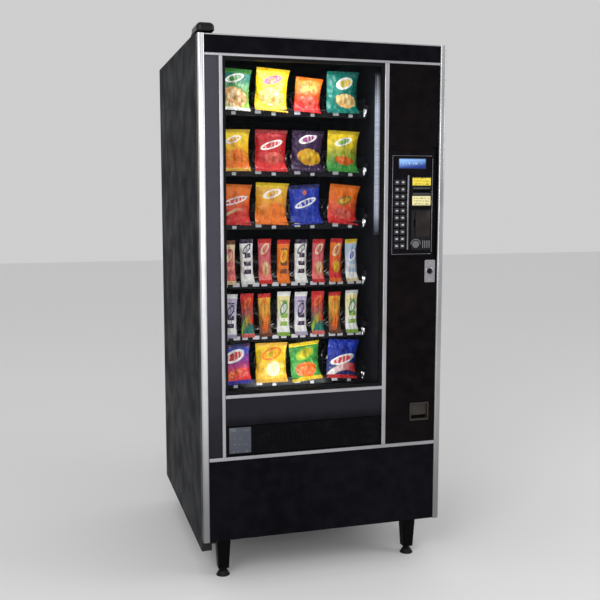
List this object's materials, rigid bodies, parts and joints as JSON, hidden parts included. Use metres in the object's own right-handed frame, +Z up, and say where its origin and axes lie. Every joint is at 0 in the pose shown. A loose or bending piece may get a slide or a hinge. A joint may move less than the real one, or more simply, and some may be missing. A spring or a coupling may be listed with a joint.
{
  "type": "snack vending machine",
  "caption": "Glass-front snack vending machine on legs, with spiral trays, a hinged door, a delivery flap, a keypad and coin and note readers.",
  "frame": {"origin": "middle of the footprint, on the floor", "axes": "+Z up, the door faces -Y, +X to the right seen from the front"},
  "size_m": [0.856, 0.914, 1.857],
  "materials": {
    "cabinet_paint": "satin",
    "leg_paint": "satin",
    "foot_rubber": "matte",
    "bracket_paint": "satin",
    "black_plastic": "gloss",
    "galvanised": "satin",
    "rail_plastic": "satin",
    "coil_wire": "satin",
    "motor_plastic": "matte",
    "bag_film": "gloss",
    "bar_film": "gloss",
    "bin_paint": "satin",
    "lamp_plastic": "gloss",
    "door_paint": "satin",
    "bright_trim": "brushed",
    "panel_vinyl": "textured",
    "glass": "gloss",
    "gasket_rubber": "matte",
    "flap_plastic": "satin",
    "bezel_plastic": "satin",
    "display_plastic": "gloss",
    "reader_plastic": "satin",
    "button_plastic": "satin",
    "cup_plastic": "satin",
    "plate_steel": "brushed",
    "lock_steel": "polished",
    "key_plastic": "satin"
  },
  "bodies": {
    "cabinet": {"left_side_panel": "cabinet_paint", "right_side_panel": "cabinet_paint", "top_panel": "cabinet_paint", "back_panel": "cabinet_paint", "base_panel": "cabinet_paint", "legs": "leg_paint", "levelling_feet": "foot_rubber", "hinge_brackets": "bracket_paint", "hinge_cover": "black_plastic", "inner_walls": "galvanised", "tray_rails": "galvanised", "trays": "galvanised", "price_rails": "rail_plastic", "fixed_coils": "coil_wire", "vend_motors": "motor_plastic", "chip_bags": "bag_film", "candy_bars": "bar_film", "delivery_bin": "bin_paint", "power_box": "bracket_paint", "lamp": "lamp_plastic"},
    "door": {"door_frame": "door_paint", "edge_trims": "bright_trim", "divider_bars": "bright_trim", "front_panels": "panel_vinyl", "control_panel": "panel_vinyl", "window_glass": "glass", "window_gasket": "gasket_rubber", "control_bezel": "bezel_plastic", "display_window": "display_plastic", "bill_validator": "reader_plastic", "coin_mechanism": "reader_plastic", "coin_cup": "cup_plastic", "lock_plate": "plate_steel"},
    "delivery_flap": {"delivery_flap": "flap_plastic"},
    "coin_cup_flap": {"coin_cup_flap": "cup_plastic"},
    "coin_return_button": {"coin_return_button": "button_plastic"},
    "door_lock": {"door_lock": "lock_steel"},
    "chip_coil": {"chip_coil": "coil_wire"},
    "candy_coil_upper": {"candy_coil_upper": "coil_wire"},
    "candy_coil_lower": {"candy_coil_lower": "coil_wire"},
    "key_01": {"key_01": "key_plastic"},
    "key_02": {"key_02": "key_plastic"},
    "key_03": {"key_03": "key_plastic"},
    "key_04": {"key_04": "key_plastic"},
    "key_05": {"key_05": "key_plastic"},
    "key_06": {"key_06": "key_plastic"},
    "key_07": {"key_07": "key_plastic"},
    "key_08": {"key_08": "key_plastic"},
    "key_09": {"key_09": "key_plastic"},
    "key_10": {"key_10": "key_plastic"},
    "key_11": {"key_11": "key_plastic"},
    "key_12": {"key_12": "key_plastic"},
    "key_13": {"key_13": "key_plastic"},
    "key_14": {"key_14": "key_plastic"},
    "key_15": {"key_15": "key_plastic"},
    "key_16": {"key_16": "key_plastic"},
    "key_17": {"key_17": "key_plastic"},
    "key_18": {"key_18": "key_plastic"},
    "key_19": {"key_19": "key_plastic"},
    "key_20": {"key_20": "key_plastic"}
  },
  "joints": [
    {"name": "door_swing", "type": "hinge", "parent": "cabinet", "child": "door", "pos_m": [-0.416, -0.433, 1], "axis": [0, 0, -1], "range_deg": [0, 110]},
    {"name": "flap_push", "type": "hinge", "parent": "door", "child": "delivery_flap", "pos_m": [-0.072, -0.4415, 0.541], "axis": [1, 0, 0], "range_deg": [0, 65]},
    {"name": "coin_cup_push", "type": "hinge", "parent": "door", "child": "coin_cup_flap", "pos_m": [0.348, -0.443, 0.5768], "axis": [1, 0, 0], "range_deg": [0, 60]},
    {"name": "coin_return_push", "type": "slide", "parent": "door", "child": "coin_return_button", "axis": [0, 1, 0], "range_m": [0, 0.005], "stiffness_N_per_m": 150},
    {"name": "lock_turn", "type": "hinge", "parent": "door", "child": "door_lock", "pos_m": [0.378, -0.45, 1.053], "axis": [0, -1, 0], "range_deg": [0, 90]},
    {"name": "key_01_press", "type": "slide", "parent": "door", "child": "key_01", "axis": [0, 1, 0], "range_m": [0, 0.002], "stiffness_N_per_m": 300},
    {"name": "key_02_press", "type": "slide", "parent": "door", "child": "key_02", "axis": [0, 1, 0], "range_m": [0, 0.002], "stiffness_N_per_m": 300},
    {"name": "key_03_press", "type": "slide", "parent": "door", "child": "key_03", "axis": [0, 1, 0], "range_m": [0, 0.002], "stiffness_N_per_m": 300},
    {"name": "key_04_press", "type": "slide", "parent": "door", "child": "key_04", "axis": [0, 1, 0], "range_m": [0, 0.002], "stiffness_N_per_m": 300},
    {"name": "key_05_press", "type": "slide", "parent": "door", "child": "key_05", "axis": [0, 1, 0], "range_m": [0, 0.002], "stiffness_N_per_m": 300},
    {"name": "key_06_press", "type": "slide", "parent": "door", "child": "key_06", "axis": [0, 1, 0], "range_m": [0, 0.002], "stiffness_N_per_m": 300},
    {"name": "key_07_press", "type": "slide", "parent": "door", "child": "key_07", "axis": [0, 1, 0], "range_m": [0, 0.002], "stiffness_N_per_m": 300},
    {"name": "key_08_press", "type": "slide", "parent": "door", "child": "key_08", "axis": [0, 1, 0], "range_m": [0, 0.002], "stiffness_N_per_m": 300},
    {"name": "key_09_press", "type": "slide", "parent": "door", "child": "key_09", "axis": [0, 1, 0], "range_m": [0, 0.002], "stiffness_N_per_m": 300},
    {"name": "key_10_press", "type": "slide", "parent": "door", "child": "key_10", "axis": [0, 1, 0], "range_m": [0, 0.002], "stiffness_N_per_m": 300},
    {"name": "key_11_press", "type": "slide", "parent": "door", "child": "key_11", "axis": [0, 1, 0], "range_m": [0, 0.002], "stiffness_N_per_m": 300},
    {"name": "key_12_press", "type": "slide", "parent": "door", "child": "key_12", "axis": [0, 1, 0], "range_m": [0, 0.002], "stiffness_N_per_m": 300},
    {"name": "key_13_press", "type": "slide", "parent": "door", "child": "key_13", "axis": [0, 1, 0], "range_m": [0, 0.002], "stiffness_N_per_m": 300},
    {"name": "key_14_press", "type": "slide", "parent": "door", "child": "key_14", "axis": [0, 1, 0], "range_m": [0, 0.002], "stiffness_N_per_m": 300},
    {"name": "key_15_press", "type": "slide", "parent": "door", "child": "key_15", "axis": [0, 1, 0], "range_m": [0, 0.002], "stiffness_N_per_m": 300},
    {"name": "key_16_press", "type": "slide", "parent": "door", "child": "key_16", "axis": [0, 1, 0], "range_m": [0, 0.002], "stiffness_N_per_m": 300},
    {"name": "key_17_press", "type": "slide", "parent": "door", "child": "key_17", "axis": [0, 1, 0], "range_m": [0, 0.002], "stiffness_N_per_m": 300},
    {"name": "key_18_press", "type": "slide", "parent": "door", "child": "key_18", "axis": [0, 1, 0], "range_m": [0, 0.002], "stiffness_N_per_m": 300},
    {"name": "key_19_press", "type": "slide", "parent": "door", "child": "key_19", "axis": [0, 1, 0], "range_m": [0, 0.002], "stiffness_N_per_m": 300},
    {"name": "key_20_press", "type": "slide", "parent": "door", "child": "key_20", "axis": [0, 1, 0], "range_m": [0, 0.002], "stiffness_N_per_m": 300},
    {"name": "chip_coil_turn", "type": "hinge", "parent": "cabinet", "child": "chip_coil", "pos_m": [-0.01615, 0.2, 1.2657], "axis": [0, -1, 0], "continuous": true},
    {"name": "candy_coil_upper_turn", "type": "hinge", "parent": "cabinet", "child": "candy_coil_upper", "pos_m": [0.01878, 0.2, 1.0527], "axis": [0, -1, 0], "continuous": true},
    {"name": "candy_coil_lower_turn", "type": "hinge", "parent": "cabinet", "child": "candy_coil_lower", "pos_m": [-0.05108, 0.2, 0.8667], "axis": [0, -1, 0], "continuous": true}
  ]
}
